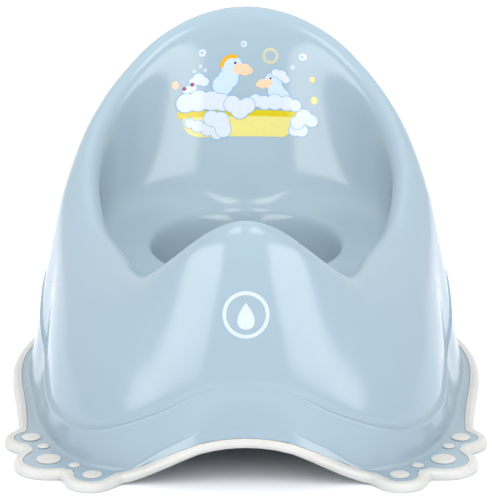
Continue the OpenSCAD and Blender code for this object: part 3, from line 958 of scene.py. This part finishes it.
class POTTY_OT_studio(bpy.types.Operator):
    """A pale floor, two tall soft boxes beside the camera, a soft top light and the camera"""
    bl_idname = "potty.studio"
    bl_label = "Studio"

    def execute(self, context):
        clear_selection()
        bpy.ops.mesh.primitive_plane_add(size=12, location=(0, 2.5, 0))
        floor = named("studio_floor")
        bpy.ops.object.transform_apply(location=True, rotation=True, scale=True)
        material, tree, shader = new_material("studio_paper")
        # the floor colour's blue tint is painted light, seen only in the floor's shadows
        colour = finish().floor
        tree.links.new(tinted(tree, noise(tree, 3, 2, 300), shaded(colour, 0.995), colour, 300),
                       shader.inputs["Base Color"])
        shader.inputs["Roughness"].default_value = 0.9
        shader.inputs["Specular IOR Level"].default_value = 0.1
        floor.data.materials.append(material)
        floor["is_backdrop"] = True
        self.world()
        studio = context.scene.potty_studio
        for side, name in ((-1, "left"), (1, "right")):
            self.diffuser("key_" + name, 1.5, studio.key, [(side * 21, 1), (side * 50, 1),
                                                           (side * 86, 24), (side * 33, 24)])
            self.diffuser("high_" + name, 1.7, studio.high, [(side * 12, 40), (side * 40, 40),
                                                             (side * 46, 58), (side * 14, 58)])
        for lamp in SOFT_LIGHTS:
            self.soft_light(*lamp)
        self.camera()
        return {"FINISHED"}

    def world(self):
        world = bpy.context.scene.world or bpy.data.worlds.new("studio_world")
        bpy.context.scene.world = world
        world.use_nodes = True
        tree = world.node_tree
        background = tree.nodes["Background"]
        where = tree.nodes.new("ShaderNodeTexCoord")
        split = tree.nodes.new("ShaderNodeSeparateXYZ")
        fade = tree.nodes.new("ShaderNodeMapRange")
        fade.inputs["From Min"].default_value = FADE_FROM
        fade.inputs["From Max"].default_value = FADE_TO
        fade.inputs["To Min"].default_value = bpy.context.scene.potty_studio.front_fill
        fade.inputs["To Max"].default_value = BACK_GLOW
        tree.links.new(where.outputs["Generated"], split.inputs["Vector"])
        tree.links.new(split.outputs["Y"], fade.inputs["Value"])
        tree.links.new(fade.outputs["Result"], background.inputs["Strength"])
        background.inputs["Color"].default_value = (1.0, 1.0, 1.0, 1)

    def diffuser(self, name, distance, strength, corners):
        """A glowing diffuser whose corners lie at (azimuth, elevation) round the chair."""
        clear_selection()
        bpy.ops.mesh.primitive_plane_add(size=1)
        screen = named(name)
        order = (0, 1, 3, 2)
        for vertex, k in zip(screen.data.vertices, order):
            turn, rise = (math.radians(angle) for angle in corners[k])
            vertex.co = (distance * math.sin(turn) * math.cos(rise),
                         -distance * math.cos(turn) * math.cos(rise),
                         0.13 + distance * math.sin(rise))
        material = bpy.data.materials.new(name)
        material.use_nodes = True
        nodes = material.node_tree.nodes
        nodes.clear()
        output = nodes.new("ShaderNodeOutputMaterial")
        glow = nodes.new("ShaderNodeEmission")
        glow.inputs["Color"].default_value = (1.0, 0.985, 0.96, 1)
        glow.inputs["Strength"].default_value = strength
        material.node_tree.links.new(glow.outputs["Emission"], output.inputs["Surface"])
        screen.data.materials.append(material)
        screen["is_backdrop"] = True

    def soft_light(self, name, kind, place, tilt, size, energy, mirrored):
        """A soft lamp; one that is not mirrored lights the chair but leaves no patch in its gloss."""
        clear_selection()
        bpy.ops.object.light_add(type=kind, location=place, rotation=(math.radians(tilt), 0, 0))
        light = named(name)
        if kind == "AREA":
            light.data.size = size
        else:
            light.data.shadow_soft_size = size
            light.data.spot_size = math.radians(SEAT_CONE)
            light.data.spot_blend = 1.0
        light.data.energy = energy
        light.visible_glossy = mirrored

    def camera(self):
        studio = bpy.context.scene.potty_studio
        clear_selection()
        bpy.ops.object.camera_add(location=(0, -studio.camera_back, studio.camera_up),
                                  rotation=(math.pi / 2 - studio.camera_tilt, 0, 0))
        camera = bpy.context.object
        camera.data.lens = studio.lens
        camera.data.sensor_width = 36
        camera.data.clip_start = 0.05
        camera.data.clip_end = 50
        bpy.context.scene.camera = camera
        bpy.context.scene.view_settings.view_transform = "Standard"


class POTTY_PT_panel(bpy.types.Panel):
    """Lists the chair's operators and settings"""
    bl_idname = "POTTY_PT_panel"
    bl_label = "Potty Training Chair"
    bl_space_type = "VIEW_3D"
    bl_region_type = "UI"
    bl_category = "Potty"

    def draw(self, context):
        for operator in OPERATORS:
            self.layout.operator(operator.bl_idname)
        for group in (context.scene.potty_shape, context.scene.potty_soft,
                      context.scene.potty_finish, context.scene.potty_studio):
            box = self.layout.box()
            for name in group.__annotations__:
                box.prop(group, name)


GROUPS = {"potty_shape": PottyShape, "potty_soft": PottySoftParts,
          "potty_finish": PottyFinish, "potty_studio": PottyStudio}
OPERATORS = [POTTY_OT_studio, POTTY_OT_shell, POTTY_OT_edge_strip, POTTY_OT_studs,
             POTTY_OT_backrest_print, POTTY_OT_front_badge]


def register():
    for name, group in GROUPS.items():
        bpy.utils.register_class(group)
        setattr(bpy.types.Scene, name, PointerProperty(type=group))
    for cls in OPERATORS + [POTTY_PT_panel]:
        bpy.utils.register_class(cls)


def unregister():
    for cls in reversed(OPERATORS + [POTTY_PT_panel]):
        bpy.utils.unregister_class(cls)
    for name, group in GROUPS.items():
        delattr(bpy.types.Scene, name)
        bpy.utils.unregister_class(group)


def main():
    register()
    bpy.ops.potty.studio()
    bpy.ops.potty.shell()
    bpy.ops.potty.edge_strip()
    bpy.ops.potty.studs()
    bpy.ops.potty.backrest_print()
    bpy.ops.potty.front_badge()
    clear_selection()


if __name__ == "__main__":
    main()
